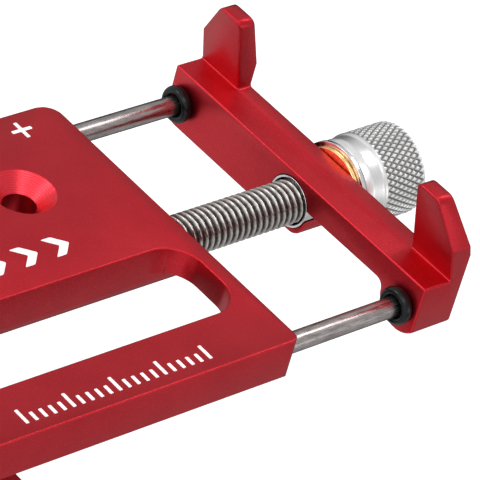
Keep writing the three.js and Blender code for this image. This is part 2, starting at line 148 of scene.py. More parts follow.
# %% [markdown]
# ## Rounded corners
# No metal edge is truly sharp: a lathe tool leaves a small radius, and tumbling leaves a bit more.
# A profile is written with plain corners and each corner is then swapped for a small curve. The curve
# is a quadratic one that leaves one edge and lands on the next at the same distance from the corner.

# %% Profile with rounded corners
def round_corners(profile, reach, closed=False, steps=4):
    """Each corner P between A and B becomes the curve (1-t)^2 A + 2t(1-t) P + t^2 B, where A and B
    lie `reach` away from P along its two edges, or less where an edge is short."""
    p = np.asarray(profile, float)
    back, ahead = np.roll(p, 1, 0) - p, np.roll(p, -1, 0) - p
    back_length = np.linalg.norm(back, axis=1, keepdims=True)
    ahead_length = np.linalg.norm(ahead, axis=1, keepdims=True)
    take = np.minimum(reach, 0.45 * np.minimum(back_length, ahead_length))
    a = p + back / np.maximum(back_length, 1e-9) * take
    b = p + ahead / np.maximum(ahead_length, 1e-9) * take
    t = np.linspace(0, 1, steps + 1)[None, :, None]
    curve = (1 - t) ** 2 * a[:, None] + 2 * t * (1 - t) * p[:, None] + t ** 2 * b[:, None]
    if closed:
        loop = curve.reshape(-1, 2)
        return np.vstack([loop, loop[:1]])
    inner = curve[1:-1].reshape(-1, 2)
    return np.vstack([p[:1], inner, p[-1:]])


def turned(name, profile, centre, axis="x", reach=0.12, closed=False, steps=72):
    """A turned part: the same rounded profile of (radius, height) at every angle."""
    rounded = round_corners(profile, reach, closed)
    radius = np.tile(rounded[:, 0], (steps, 1))
    return around_axis(name, radius, rounded[:, 1], centre, axis)


def ring_profile(inner, outer, start, end):
    """The four corners of a ring's section."""
    return [(inner, start), (outer, start), (outer, end), (inner, end)]


print("corner sample:", round_corners([(0, 0), (1, 0), (1, 1)], 0.2).shape)

# %% [markdown]
# ## Finishes
# Every finish is a Principled shader with small procedural patterns. The patterns read the object's
# own coordinates in metres, so a mapping that scales them by a thousand makes one unit of noise one
# millimetre. Grain, scratches and tool marks then have their real size.

# %% Shader helpers
def shader_of(name, color, metallic, roughness, coat=0.0, coat_roughness=0.2):
    material = bpy.data.materials.new(name)
    material.use_nodes = True
    shader = material.node_tree.nodes["Principled BSDF"]
    shader.inputs["Base Color"].default_value = (*color, 1)
    shader.inputs["Metallic"].default_value = metallic
    shader.inputs["Roughness"].default_value = roughness
    shader.inputs["Coat Weight"].default_value = coat
    shader.inputs["Coat Roughness"].default_value = coat_roughness
    return material, material.node_tree, shader


def millimetres(tree, stretch=(1, 1, 1), shift=(0, 0, 0)):
    """Object coordinates counted in millimetres from `shift`, and squeezed by `stretch`."""
    coordinate = tree.nodes.new("ShaderNodeTexCoord")
    move = tree.nodes.new("ShaderNodeVectorMath")
    move.operation = "SUBTRACT"
    move.inputs[1].default_value = shift
    mapping = tree.nodes.new("ShaderNodeMapping")
    mapping.inputs["Scale"].default_value = [s / MM for s in stretch]
    tree.links.new(coordinate.outputs["Object"], move.inputs[0])
    tree.links.new(move.outputs[0], mapping.inputs["Vector"])
    return mapping.outputs[0]


def noise(tree, vector, scale, detail=3.0, roughness=0.6):
    texture = tree.nodes.new("ShaderNodeTexNoise")
    texture.inputs["Scale"].default_value = scale
    texture.inputs["Detail"].default_value = detail
    texture.inputs["Roughness"].default_value = roughness
    tree.links.new(vector, texture.inputs["Vector"])
    return texture.outputs["Fac"]


def remap(tree, value, low, high, out_low, out_high):
    """`low` becomes `out_low` and `high` becomes `out_high`, in a straight line held at both ends."""
    node = tree.nodes.new("ShaderNodeMapRange")
    for socket, number in zip(list(node.inputs)[1:5], (low, high, out_low, out_high)):
        socket.default_value = number
    tree.links.new(value, node.inputs[0])
    return node.outputs[0]


def mix_color(tree, factor, a, b):
    node = tree.nodes.new("ShaderNodeMix")
    node.data_type = "RGBA"
    tree.links.new(factor, node.inputs["Factor"])
    for socket, color in ((node.inputs[6], a), (node.inputs[7], b)):
        if isinstance(color, tuple):
            socket.default_value = (*color, 1)
        else:
            tree.links.new(color, socket)
    return node.outputs[2]


def bump(tree, shader, height, strength, distance=0.02):
    node = tree.nodes.new("ShaderNodeBump")
    node.inputs["Strength"].default_value = strength
    node.inputs["Distance"].default_value = distance * MM
    tree.links.new(height, node.inputs["Height"])
    tree.links.new(node.outputs[0], shader.inputs["Normal"])


print("shader helpers ready")

# %% [markdown]
# ## Red anodising
# The aluminium is blasted with fine beads, which leaves a satin skin of tiny pits, and then dyed
# red under a clear oxide. Small specks of a lighter red are painted on as glints off the pits. The
# dye acts like a coloured metal, and the oxide like a thin coat, so highlights turn pink. Where the
# countersinks are cut the tool leaves fine rings, which are a function of the distance from the
# hole's axis. There the red is painted lighter, with painted highlights along the rings; the rings'
# bumps are real.

# %% Red anodised aluminium
DYE = (0.43, 0.0085, 0.018)
DYE_LIGHT = (0.48, 0.012, 0.022)
# painted highlight: the countersinks' red, lighter than the dye, stands in for the light the cut cones
# reflect
SINK_HIGHLIGHT_RED = (0.62, 0.013, 0.025)
HOLE_INSET = 14.85
HOLE_Y = 11.8
SINK_R = 4.4
LEDGE = 6.7
PLATE_LEFT = (plate_low.x - plate_high.x) / MM


def ring_distance(tree, centre):
    """Distance in millimetres from an upright axis through `centre`."""
    flat = millimetres(tree, stretch=(1, 1, 0), shift=tuple(centre))
    length = tree.nodes.new("ShaderNodeVectorMath")
    length.operation = "LENGTH"
    tree.links.new(flat, length.inputs[0])
    return length.outputs["Value"]


def math_node(tree, operation, *values):
    node = tree.nodes.new("ShaderNodeMath")
    node.operation = operation
    for socket, value in zip(node.inputs, values):
        if isinstance(value, (int, float)):
            socket.default_value = value
        else:
            tree.links.new(value, socket)
    return node.outputs[0]


def red_anodising(name, hole_axes=()):
    material, tree, shader = shader_of(name, DYE, 1.0, 0.4, coat=0.2, coat_roughness=0.3)
    grain_space = millimetres(tree)
    grain = noise(tree, grain_space, 5.5, 4)
    cloud = noise(tree, grain_space, 0.12, 2)
    # painted glint: random small specks of a lighter red stand in for light glinting off the blasted pits
    painted_glint = remap(tree, noise(tree, grain_space, 5.0, 2, 0.75), 0.54, 0.72, 0, 1)
    tone = mix_color(tree, remap(tree, cloud, 0.35, 0.65, 0, 1), DYE, DYE_LIGHT)
    color = mix_color(tree, painted_glint, tone, (0.58, 0.03, 0.045))
    rough = remap(tree, grain, 0.3, 0.7, 0.36, 0.46)
    height = grain
    for axis in hole_axes:
        away = ring_distance(tree, axis)
        inside = remap(tree, away, SINK_R + 0.02, SINK_R - 0.04, 0, 1)
        beyond = remap(tree, away, 2.2, 2.35, 0, 1)
        cut = math_node(tree, "MULTIPLY", inside, beyond)
        rings = math_node(tree, "SINE", math_node(tree, "MULTIPLY", away, 2 * math.pi / 0.22))
        streak = noise(tree, millimetres(tree, (0.3, 0.3, 6)), 4.0, 2)
        rings = math_node(tree, "MULTIPLY", rings, remap(tree, streak, 0.3, 0.7, 0.2, 0.9))
        # painted highlight: the tool rings swing from a light to a lighter red, as reflections along the
        # rings; their bump below is real
        lit = mix_color(tree, remap(tree, rings, -1, 1, 0, 1), SINK_HIGHLIGHT_RED, (0.66, 0.045, 0.065))
        color = mix_color(tree, cut, color, lit)
        rough = math_node(tree, "SUBTRACT", rough, math_node(tree, "MULTIPLY", cut, 0.08))
        cut_height = math_node(tree, "MULTIPLY", cut, rings)
        height = math_node(tree, "ADD", height, cut_height)
    tree.links.new(color, shader.inputs["Base Color"])
    tree.links.new(rough, shader.inputs["Roughness"])
    bump(tree, shader, height, 0.6, 0.016)
    return material


HOLES_X = (-HOLE_INSET, PLATE_LEFT + LEDGE + HOLE_INSET)
hole_axes = [in_holder((x, HOLE_Y, 0)) for x in HOLES_X]
plate_red = red_anodising("red_anodised_plate", hole_axes)
jaw_red = red_anodising("red_anodised")
print("red finishes:", plate_red.name, jaw_red.name)

# %% [markdown]
# ## Plain metals
# Ground rod, rolled thread, turned knob and brass share one recipe: a metal colour, long fine marks
# in the direction in which the tool moved, and a slow drift in tone. Only the colours and the
# direction of the marks change.

# %% Tooled metal
def tooled_metal(name, color, roughness, marks, spread=0.25):
    """`marks` squeezes the noise, so that a small number along X draws it out into long lines."""
    material, tree, shader = shader_of(name, color, 1.0, roughness)
    lines = noise(tree, millimetres(tree, marks), 1.4, 4, 0.65)
    drift = noise(tree, millimetres(tree), 0.35, 2)
    dark = tuple(c * (1 - spread) for c in color)
    light = tuple(min(1, c * (1 + spread)) for c in color)
    both = math_node(tree, "ADD", math_node(tree, "MULTIPLY", lines, 0.7),
                     math_node(tree, "MULTIPLY", drift, 0.3))
    tree.links.new(mix_color(tree, remap(tree, both, 0.35, 0.65, 0, 1), dark, light),
                   shader.inputs["Base Color"])
    tree.links.new(remap(tree, lines, 0.3, 0.7, roughness * 0.75, roughness * 1.3),
                   shader.inputs["Roughness"])
    bump(tree, shader, lines, 0.25, 0.004)
    return material


rod_steel = tooled_metal("rod_steel", (0.33, 0.30, 0.295), 0.27, marks=(0.5, 5, 5), spread=0.4)
bright_steel = tooled_metal("bright_steel", (0.66, 0.66, 0.67), 0.22, marks=(5, 1, 1))
brass = tooled_metal("washer_brass", (0.83, 0.50, 0.22), 0.22, marks=(5, 1, 1))
black_steel = tooled_metal("black_steel", (0.045, 0.045, 0.05), 0.38, marks=(2, 2, 2), spread=0.3)
print("metals ready")

# %% [markdown]
# ## Thread steel
# The root of the thread is painted dark as shade, and the crests keep the steel's bright colour. The
# radius from the screw's axis tells crest from root, so the painted shade follows it, made patchy by a
# noise.

# %% Thread steel
def thread_steel(name, centre, axis, root, crest):
    """Painted shade: dark at the root radius and the steel's bright colour at the crest radius, both in
    millimetres.
    """
    material, tree, shader = shader_of(name, (0.4, 0.39, 0.38), 1.0, 0.3)
    flat = (0, 1, 1) if axis == "x" else (1, 1, 0)
    length = tree.nodes.new("ShaderNodeVectorMath")
    length.operation = "LENGTH"
    tree.links.new(millimetres(tree, flat, tuple(centre)), length.inputs[0])
    rise = remap(tree, length.outputs["Value"], root, crest, 0, 1)
    blotch_noise = noise(tree, millimetres(tree), 2.2, 4, 0.7)
    shade = math_node(tree, "ADD", rise, remap(tree, blotch_noise, 0.3, 0.7, -0.18, 0.18))
    # painted shade: near black at the thread's root, the steel's colour at the crest, made patchy by the
    # noise
    tree.links.new(mix_color(tree, shade, (0.045, 0.038, 0.034), (0.46, 0.44, 0.42)),
                   shader.inputs["Base Color"])
    tree.links.new(remap(tree, rise, 0, 1, 0.45, 0.22), shader.inputs["Roughness"])
    bump(tree, shader, blotch_noise, 0.2, 0.004)
    return material


print("thread finish ready")

# %% [markdown]
# ## Rubber and print
# The O-rings are moulded nitrile with a wet shine, and the liners are matt. The marks on the plate
# are white ink, a little uneven.

# %% Rubber and ink
def rubber(name, color, roughness, grain_depth, gloss=0.5):
    """A fine moulded grain, with a little grey dust where it stands proud."""
    material, tree, shader = shader_of(name, color, 0.0, roughness)
    shader.inputs["Specular IOR Level"].default_value = gloss
    grain = noise(tree, millimetres(tree), 2.5, 5, 0.7)
    dust = tuple(c * 1.8 + 0.001 for c in color)
    tree.links.new(mix_color(tree, remap(tree, grain, 0.5, 0.8, 0, 1), color, dust),
                   shader.inputs["Base Color"])
    tree.links.new(remap(tree, grain, 0.3, 0.7, roughness * 0.85, roughness * 1.2),
                   shader.inputs["Roughness"])
    bump(tree, shader, grain, grain_depth, 0.02)
    return material


def white_ink(name):
    material, tree, shader = shader_of(name, (0.85, 0.84, 0.83), 0.0, 0.5)
    patch = noise(tree, millimetres(tree), 3.0, 4)
    tree.links.new(mix_color(tree, remap(tree, patch, 0.35, 0.6, 0, 1), (0.72, 0.66, 0.66),
                             (0.92, 0.91, 0.90)), shader.inputs["Base Color"])
    bump(tree, shader, patch, 0.3, 0.01)
    return material


ring_rubber = rubber("o_ring_rubber", (0.003, 0.004, 0.0045), 0.18, 0.04, gloss=0.2)
liner_rubber = rubber("liner_rubber", (0.017, 0.017, 0.018), 0.62, 0.5)
ink = white_ink("white_ink")
print("rubber and ink ready")

# %% [markdown]
# ## Placing a piece
# A finished piece rides on a body of the model, stands for the plain node and takes its finish. One
# function does all three.

# %% Place a piece
def place(piece, body, node, material):
    piece.data.materials.clear()
    piece.data.materials.append(material)
    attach(piece, body)
    if node:
        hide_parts(node)
    print(f"{piece.name}: {len(piece.data.polygons)} faces on {body}")


# %% [markdown]
# ## Milled parts
# The plate, the jaw and the clamp halves are milled from the solid, and then tumbled, so every edge
# has a small radius. Their shapes are right already. A copy of each is merged, its flat faces are
# joined into whole ones, and a Bevel modifier rounds the edges that are sharper than a set angle.
# On some pieces the whole faces are then cut into well-shaped triangles, which gives cleaner corners.
# Drilled holes are made after tumbling, so their rims stay crisp: a mask names the zones to leave.
# The radius stays under 0.3 mm, the wall outside the rods' bores, so that no rounding meets a bore.

# %% Zones whose edges stay crisp
EDGE_ANGLE = math.radians(27)
ROD_Y = 22.2
BORES = [(-ROD_Y, 1.8), (ROD_Y, 1.8), (0.0, 3.8)]
BOLT_Y = 21.8
CLAMP_HALF = 9


def near_bores(p):
    """True where the distance from a rod's or the screw's axis is within that bore's radius."""
    return np.any([np.hypot(p[:, 1] - y, p[:, 2] + AXIS_DEPTH) < r for y, r in BORES], axis=0)


def crisp_on_plate(p):
    """The bores, the two countersunk holes, the lower right end, the steps at the far left, and the
    foot of the slot's inner wall."""
    holes = np.any([np.hypot(p[:, 0] - x, p[:, 1] - HOLE_Y) < SINK_R + 0.1 for x in HOLES_X], axis=0)
    lower_end = (p[:, 0] > -1.7) & (p[:, 2] < -5.0)
    left_end = (p[:, 0] < -54.0) & (np.abs(p[:, 2]) > 4.0) & (np.abs(p[:, 2]) < 7.0)
    slot_foot = (np.abs(p[:, 1] + 4) < 0.9) & (p[:, 2] < -3.8)
    return near_bores(p) | holes | lower_end | left_end | slot_foot


def crisp_on_clamp(p):
    """The swivel screw's hole, the bolt holes in the ears, and the ends of the ring by the seat."""
    world = p + HOLDER / MM
    bolts = np.hypot(world[:, 0], np.abs(world[:, 1]) - BOLT_Y) < 2.9
    by_seat = (world[:, 2] > 12.9) & (world[:, 2] < 13.6)
    ring_ends = (np.abs(np.abs(world[:, 0]) - CLAMP_HALF) < 0.3) & by_seat
    return bolts | ring_ends | (np.hypot(world[:, 0], world[:, 1]) < 2.4)


def none_crisp(p):
    """No edge stays crisp, as on the small hardware."""
    return np.zeros(len(p), bool)


# %% Milled copy with rounded edges
FLAT_ANGLE = math.radians(1)
BEVEL_STEPS = 3


def milled(name, node, radius, crisp, merge, whole_faces=False, miter="MITER_ARC"):
    """Rounds the sharp edges of a copy of `node` to `radius`, apart from those whose ends are both
    `crisp`. Points closer than `merge` become one. Both are in millimetres. Flat faces are left whole
    or are cut into triangles, and `miter` is the pattern that the modifier uses at corners."""
    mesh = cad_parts[node].data.copy()
    mesh.name = name
    bm = bmesh.new()
    bm.from_mesh(mesh)
    bmesh.ops.remove_doubles(bm, verts=bm.verts, dist=merge * MM)
    bmesh.ops.dissolve_degenerate(bm, edges=bm.edges, dist=merge * MM)
    bmesh.ops.dissolve_limit(bm, angle_limit=FLAT_ANGLE, verts=bm.verts, edges=bm.edges)
    if not whole_faces:
        bmesh.ops.triangulate(bm, faces=bm.faces, ngon_method="BEAUTY")
    weight = bm.edges.layers.float.new("bevel_weight_edge")
    for edge in bm.edges:
        if edge.calc_face_angle(0) > EDGE_ANGLE:
            ends = np.array([corner.co for corner in edge.verts])
            edge.smooth = not crisp((ends - HOLDER) / MM).all()
            edge[weight] = float(edge.smooth)
    bm.to_mesh(mesh)
    bm.free()
    mesh.polygons.foreach_set("use_smooth", np.ones(len(mesh.polygons), bool))
    piece = add_object(name, mesh)
    bevel = piece.modifiers.new("rounded_edges", "BEVEL")
    bevel.width = radius * MM
    bevel.segments = BEVEL_STEPS
    bevel.loop_slide = False
    bevel.miter_outer = miter
    bevel.limit_method = "WEIGHT"
    bevel.use_clamp_overlap = False
    bevel.harden_normals = True
    return piece


plate_body = milled("holder_plate", "base_plate", 0.2, crisp_on_plate, 0.06, whole_faces=True)
jaw_body = milled("jaw", "moving_jaw", 0.28, near_bores, 0.06, whole_faces=True)
saddle_body = milled("saddle", "clamp_saddle", 0.28, crisp_on_clamp, 0.004, miter="MITER_SHARP")
cap_body = milled("cap", "clamp_cap", 0.28, crisp_on_clamp, 0.1)
place(plate_body, "holder", "base_plate", plate_red)
place(jaw_body, "jaw", "moving_jaw", jaw_red)
place(saddle_body, "clamp", "clamp_saddle", jaw_red)
place(cap_body, "cap", "clamp_cap", jaw_red)

# %% Clip and grub screw
clip_body = milled("clip", "retaining_clip", 0.12, none_crisp, 0.06, whole_faces=True)
grub_body = milled("grub_screw", "knob_grub", 0.1, none_crisp, 0.06, whole_faces=True)
place(clip_body, "screw", "retaining_clip", black_steel)
place(grub_body, "screw", "knob_grub", black_steel)

# %% [markdown]
# ## Guide rods and their rings
# The rods are ground steel with a rounded end. An O-ring sits on each, against the jaw. It is a
# torus: the radius is its middle radius plus the cosine of the section's angle, and the height is the
# sine.

# %% Guide rods and O-rings
ROD_R = 1.33
RING_SECTION = 0.56
RING_THICK = 0.75


def guide_rod(side):
    low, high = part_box(f"guide_rod_{side}")
    length = (high.x - low.x) / MM
    profile = [(0, 0), (ROD_R, 0), (ROD_R, length), (0, length)]
    start = np.array([low.x, *node_centre(f"guide_rod_{side}")[1:]])
    return turned(f"rod_{side}", profile, start, reach=0.35, steps=64)


def o_ring(side):
    low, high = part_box(f"o_ring_{side}")
    outer = (high.y - low.y) / 2 / MM
    section = np.linspace(0, 2 * np.pi, 25)
    radius = np.tile(outer - RING_SECTION + RING_SECTION * np.cos(section), (72, 1))
    return around_axis(f"ring_{side}", radius, RING_THICK * np.sin(section), node_centre(f"o_ring_{side}"))


for side in ("front", "back"):
    place(guide_rod(side), "jaw", f"guide_rod_{side}", rod_steel)
    place(o_ring(side), "jaw", f"o_ring_{side}", ring_rubber)

# %% [markdown]
# ## Screw threads
# A thread is a ridge that climbs one pitch in each turn. The phase of a point is its distance along
# the axis over the pitch, minus its angle over a full turn. The ridge's height is a clipped triangle
# of that phase, which gives the flat crest, the flat root and the sloped flanks of a metric thread.

# %% Thread profile
def ridge(phase):
    """0 at the root and 1 on the crest: the triangle |2p-1| of the fraction p, stretched and clipped."""
    triangle = np.abs(2 * (phase % 1) - 1)
    return np.clip(1.3 * triangle - 0.15, 0, 1)


def threaded(outer, heights, angles, pitch, depth, start, end, lead_out=0.8):
    """Radius for each angle and height: `outer`, less the thread's depth wherever the ridge is low.
    The depth fades in and out over `lead_out` at both ends of the threaded stretch."""
    angle = np.linspace(0, 2 * np.pi, angles, endpoint=False)[:, None]
    x = heights[None, :]
    valley = 1 - ridge(x / pitch - angle / (2 * np.pi))
    fade = np.clip((x - start) / lead_out, 0, 1) * np.clip((end - x) / lead_out, 0, 1)
    return outer[None, :] - depth * valley * fade


SCREW_R = 2.95
SCREW_PITCH = 1.0
SCREW_DEPTH = 0.52
GROOVE_R = 2.3
GROOVE_START, GROOVE_END = 22.9, 23.8
TIP_CHAMFER = 0.8


def lead_screw():
    """The threaded stretch is sampled 14 times a pitch. The profile's own radius makes the chamfered
    tip, the clip's groove and the plain end in the knob."""
    tip = (screw_low.x - HOLDER[0]) / MM
    end = (screw_high.x - HOLDER[0]) / MM
    thread_end = GROOVE_START - 0.2
    thread = np.arange(tip, thread_end, SCREW_PITCH / 14)
    plain = [GROOVE_START, GROOVE_START, GROOVE_END, GROOVE_END, end - 0.4, end, end]
    plain_r = [SCREW_R, GROOVE_R, GROOVE_R, SCREW_R, SCREW_R, SCREW_R - 0.4, 0]
    heights = np.concatenate([[tip], thread, plain])
    nose = np.minimum(SCREW_R, SCREW_R - TIP_CHAMFER + (thread - tip))
    outer = np.concatenate([[0], nose, plain_r])
    radius = threaded(outer, heights, 64, SCREW_PITCH, SCREW_DEPTH, tip, thread_end)
    centre = [HOLDER[0], screw_y, (screw_low.z + screw_high.z) / 2]
    return around_axis("threaded_screw", np.maximum(radius, 0), heights, centre)


screw_axis = (0, screw_y, (screw_low.z + screw_high.z) / 2)
screw_steel = thread_steel("screw_steel", screw_axis, "x", SCREW_R - 0.6 * SCREW_DEPTH, SCREW_R)
place(lead_screw(), "screw", "lead_screw", screw_steel)

# %% [markdown]
# ## Rings on the screw
# A thin bright sleeve lines the jaw where the screw goes in. Outside the jaw the knob pushes on a
# brass ring, and a steel washer between them stops it digging in.

# %% Sleeve and washers
def ring_on_screw(name, node, inner, reach=0.1):
    low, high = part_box(node)
    outer = (high.y - low.y) / 2 / MM
    profile = ring_profile(inner, outer, 0, (high.x - low.x) / MM)
    return turned(name, profile, (low.x, *screw_axis[1:]), reach=reach, closed=True, steps=96)


sleeve = ring_on_screw("sleeve", "screw_sleeve", 3.2, 0.06)
brass_ring = ring_on_screw("brass_ring", "brass_washer", 3.25, 0.18)
thrust_washer = ring_on_screw("thrust_washer", "steel_washer", 3.25)
place(sleeve, "jaw", "screw_sleeve", bright_steel)
place(brass_ring, "jaw", "brass_washer", brass)
place(thrust_washer, "screw", "steel_washer", bright_steel)

# %% [markdown]
# ## Knurled knob
# Two wheels press crossing helical grooves into the knob's rim, which leaves rows of small pyramids.
# Each set of grooves is a triangle wave of the angle plus or minus the distance along the axis. The
# lower of the two waves is the height of the pyramid.

# %% Knob
KNURL_STARTS = 44
KNURL_LENGTH = 1.52
KNURL_DEPTH = 0.27
KNOB_R, NECK_R, STEP_R, KNOB_BORE = 6.2, 5.95, 5.3, 3.05
KNOB_STEPS = KNURL_STARTS * 8


def knurl(heights, angles):
    """Pyramid height from 0 in a groove to 1 on top, flattened where the wheel didn't fill."""
    turn = np.linspace(0, KNURL_STARTS, angles, endpoint=False)[:, None]
    along = heights[None, :] / KNURL_LENGTH
    waves = [1 - np.abs(2 * ((turn + sign * along) % 1) - 1) for sign in (1, -1)]
    return np.clip(1.5 * np.minimum(*waves), 0, 1)


def thumb_knob():
    low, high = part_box("thumb_knob")
    length = (high.x - low.x) / MM
    neck_end, head = 3.0, 3.45
    front = round_corners([(KNOB_BORE, 0), (STEP_R, 0), (STEP_R, 0.35), (NECK_R - 0.4, 0.4),
                           (NECK_R, 1.3), (NECK_R, neck_end), (KNOB_R, head)], 0.16)
    rim = np.linspace(head, length - 0.45, 84)
    back = round_corners([(KNOB_R, length - 0.45), (KNOB_R - 0.55, length), (2.4, length),
                          (2.1, length - 0.25), (0, length - 0.25)], 0.12)
    bore = np.array([(0, length - 1.1), (KNOB_BORE, length - 1.1), (KNOB_BORE, 0)])
    outer = np.concatenate([bore[:, 0], front[1:, 0], np.full(len(rim), KNOB_R), back[1:, 0]])
    heights = np.concatenate([bore[:, 1], front[1:, 1], rim, back[1:, 1]])
    fade = np.clip((heights - head - 0.1) / 0.25, 0, 1)
    fade *= np.clip((length - 0.35 - heights) / 0.35, 0, 1)
    fade *= outer > NECK_R
    groove = (1 - knurl(heights, KNOB_STEPS)) * fade[None, :]
    radius = outer[None, :] - KNURL_DEPTH * groove
    return around_axis("knurled_knob", radius, heights, (low.x, *screw_axis[1:]), depth=groove)


# %% Knob finish
def knob_finish(name):
    """Clear anodised: fine turning marks all over, and painted shade, a dark grey, in the knurl's grooves,
    where `depth` is the attribute that the mesh carries."""
    material, tree, shader = shader_of(name, (0.6, 0.6, 0.6), 1.0, 0.3)
    lines = noise(tree, millimetres(tree, (7, 0.5, 0.5)), 1.4, 4, 0.65)
    tone = remap(tree, lines, 0.3, 0.7, 0, 1)
    plain = mix_color(tree, tone, (0.62, 0.62, 0.625), (0.80, 0.80, 0.80))
    depth = tree.nodes.new("ShaderNodeAttribute")
    depth.attribute_name = "depth"
    low = remap(tree, depth.outputs["Fac"], 0.25, 0.85, 0, 1)
    # painted shade: dark grey wherever the knurl's grooves are deep
    tree.links.new(mix_color(tree, low, plain, (0.17, 0.165, 0.16)), shader.inputs["Base Color"])
    tree.links.new(remap(tree, low, 0, 1, 0.36, 0.42), shader.inputs["Roughness"])
    bump(tree, shader, lines, 0.2, 0.004)
    return material


place(thumb_knob(), "screw", "thumb_knob", knob_finish("knob_aluminium"))

# %% [markdown]
# ## Socket screws
# A hexagon socket is a turned hole whose radius depends on the angle: half the width across the
# flats, over the cosine of the angle from the nearest flat. The heads of the clamp bolts have a fine
# straight knurl, and their shanks the same thread as before, at a finer pitch.

# %% Hexagon and clamp bolts
BOLT_TEETH = 36
BOLT_ANGLES = BOLT_TEETH * 4
BOLT_R = 2.5
BOLT_PITCH = 0.8
BOLT_DEPTH = 0.42
BOLT_SOCKET = 3.98
TOOTH_DEPTH = 0.16


def hexagon(across, angles):
    """Radius of a hexagon, `across` wide over its flats, at each angle."""
    angle = np.linspace(0, 2 * np.pi, angles, endpoint=False)
    from_flat = (angle + np.pi / 6) % (np.pi / 3) - np.pi / 6
    return across / 2 / np.cos(from_flat)


def clamp_bolt(side):
    """Socket, knurled rim, and threaded shank with a tapered tip, from the head's face upwards."""
    low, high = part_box(f"clamp_bolt_{side}")
    head_r = (high.x - low.x) / 2 / MM
    length = (high.z - low.z) / MM
    head = 5.0
    hexagon_r = hexagon(BOLT_SOCKET, BOLT_ANGLES)[:, None]
    teeth = np.abs((np.arange(BOLT_ANGLES) % 4) - 2)[:, None] / 2
    ones = np.ones((BOLT_ANGLES, 1))
    socket_h = [3.2, 2.6, 2.6, 0.22, 0.0]
    socket_r = np.hstack([0 * ones, hexagon_r * 0.6, hexagon_r, hexagon_r, hexagon_r + 0.2])
    rim_h = [0.0, 0.12, 0.45, 0.6, head - 0.7, head - 0.5, head - 0.1, head, head]
    rim_r = head_r - np.array([0.5, 0.15, 0, 0, 0, 0, 0, 0.1, head_r - 2.9])
    cut = np.array([0, 0, 0, 1, 1, 0, 0, 0, 0])
    rim = rim_r[None, :] - TOOTH_DEPTH * teeth * cut[None, :]
    shank_h = np.arange(head, length - 0.01, BOLT_PITCH / 12)
    taper = np.minimum(BOLT_R, BOLT_R - 0.4 + (length - shank_h))
    shank = threaded(taper, shank_h, BOLT_ANGLES, BOLT_PITCH, BOLT_DEPTH, head + 0.3, length + 1, 0.5)
    radius = np.hstack([socket_r, rim, shank, 0 * ones])
    heights = np.concatenate([socket_h, rim_h, shank_h, [length]])
    centre = node_centre(f"clamp_bolt_{side}")
    return around_axis(f"bolt_{side}", radius, heights, (centre[0], centre[1], low.z), axis="z")


for side in ("front", "back"):
    place(clamp_bolt(side), f"bolt_{side}", f"clamp_bolt_{side}", black_steel)

# %% Swivel screw and its washer
def swivel_screw():
    """A countersunk head with a hexagon socket, over a plain neck."""
    low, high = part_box("swivel_screw")
    length = (high.z - low.z) / MM
    head_r = (high.x - low.x) / 2 / MM
    ones = np.ones((96, 1))
    hexagon_r = hexagon(2.5, 96)[:, None]
    neck = length - 0.15 - (head_r - 2)
    socket = np.hstack([0 * ones, hexagon_r * 0.6, hexagon_r, hexagon_r, hexagon_r + 0.12])
    socket_h = np.array([1.9, 1.6, 1.6, 0.12, 0.0])
    body = np.array([(head_r - 0.08, length), (head_r, length - 0.08), (head_r, length - 0.15),
                     (2.05, neck), (2, neck - 0.05), (2, 0.4), (1.6, 0), (0, 0)])
    radius = np.hstack([socket, ones * body[:, 0]])
    heights = np.concatenate([length - socket_h, body[:, 1]])
    return around_axis("pivot_screw", radius, heights, (0, 0, low.z), axis="z")


def flat_ring(name, node, inner, reach):
    """A washer with its axis upright."""
    low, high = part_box(node)
    centre = node_centre(node)
    profile = ring_profile(inner, (high.x - low.x) / 2 / MM, 0, (high.z - low.z) / MM)
    return turned(name, profile, (centre[0], centre[1], low.z), axis="z", reach=reach, closed=True)


place(swivel_screw(), "clamp", "swivel_screw", bright_steel)
place(flat_ring("pivot_washer", "swivel_washer", 2.3, 0.2), "clamp", "swivel_washer",
      liner_rubber)
for side in ("front", "back"):
    place(flat_ring(f"bolt_ring_{side}", f"bolt_washer_{side}", 2.8, 0.15), "cap", f"bolt_washer_{side}",
          bright_steel)

# %% [markdown]
# ## Ribbed liners
# The liners are moulded half rings with shallow ribs that bite on the handlebar. The section is a
# rounded rectangle that is carried round the half circle, and its inner side moves in and out with a
# wave, which makes the ribs.

# %% Liners
BAR_R = 11.1
LINER_WIDTH = 18.0
RIB_PITCH = math.radians(7.5)
RIB_DEPTH = 0.45
LINER_CORNER = 0.5
HALF_GAP = 0.9


def liner(name, node, side):
    """Section corners are quarter circles of LINER_CORNER; the inner radius is BAR_R plus the depth of
    the groove between two ribs."""
    low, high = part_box(node)
    outer = (high.y - low.y) / 2 / MM
    gap = math.asin(HALF_GAP / BAR_R)
    angle = np.linspace(gap, np.pi - gap, 241)[:, None]
    wave = np.abs(2 * ((angle / RIB_PITCH) % 1) - 1)
    inner = BAR_R + RIB_DEPTH * np.clip(2.2 * wave - 0.9, 0, 1)
    corner = np.linspace(0, 2 * np.pi, 24, endpoint=False) + 2 * np.pi / 48
    right, top = np.sign(np.cos(corner)), np.sign(np.sin(corner))
    x = right * (LINER_WIDTH / 2 - LINER_CORNER) + LINER_CORNER * np.cos(corner)
    out = np.where(top > 0, outer - LINER_CORNER, inner + LINER_CORNER)
    r = out + LINER_CORNER * np.sin(corner)[None, :]
    tilt = np.arcsin(np.clip(HALF_GAP / r, -1, 1))
    spread = (angle - gap) / (np.pi - 2 * gap)
    turn = tilt + spread * (np.pi - 2 * tilt)
    points = np.stack([np.broadcast_to(x, r.shape), r * np.cos(turn), side * r * np.sin(turn)], -1) * MM
    return grid_piece(name, points, around=False, along=True, caps=True)


place(liner("upper_liner", "saddle_liner", 1), "clamp", "saddle_liner", liner_rubber)
place(liner("lower_liner", "cap_liner", -1), "cap", "cap_liner", liner_rubber)

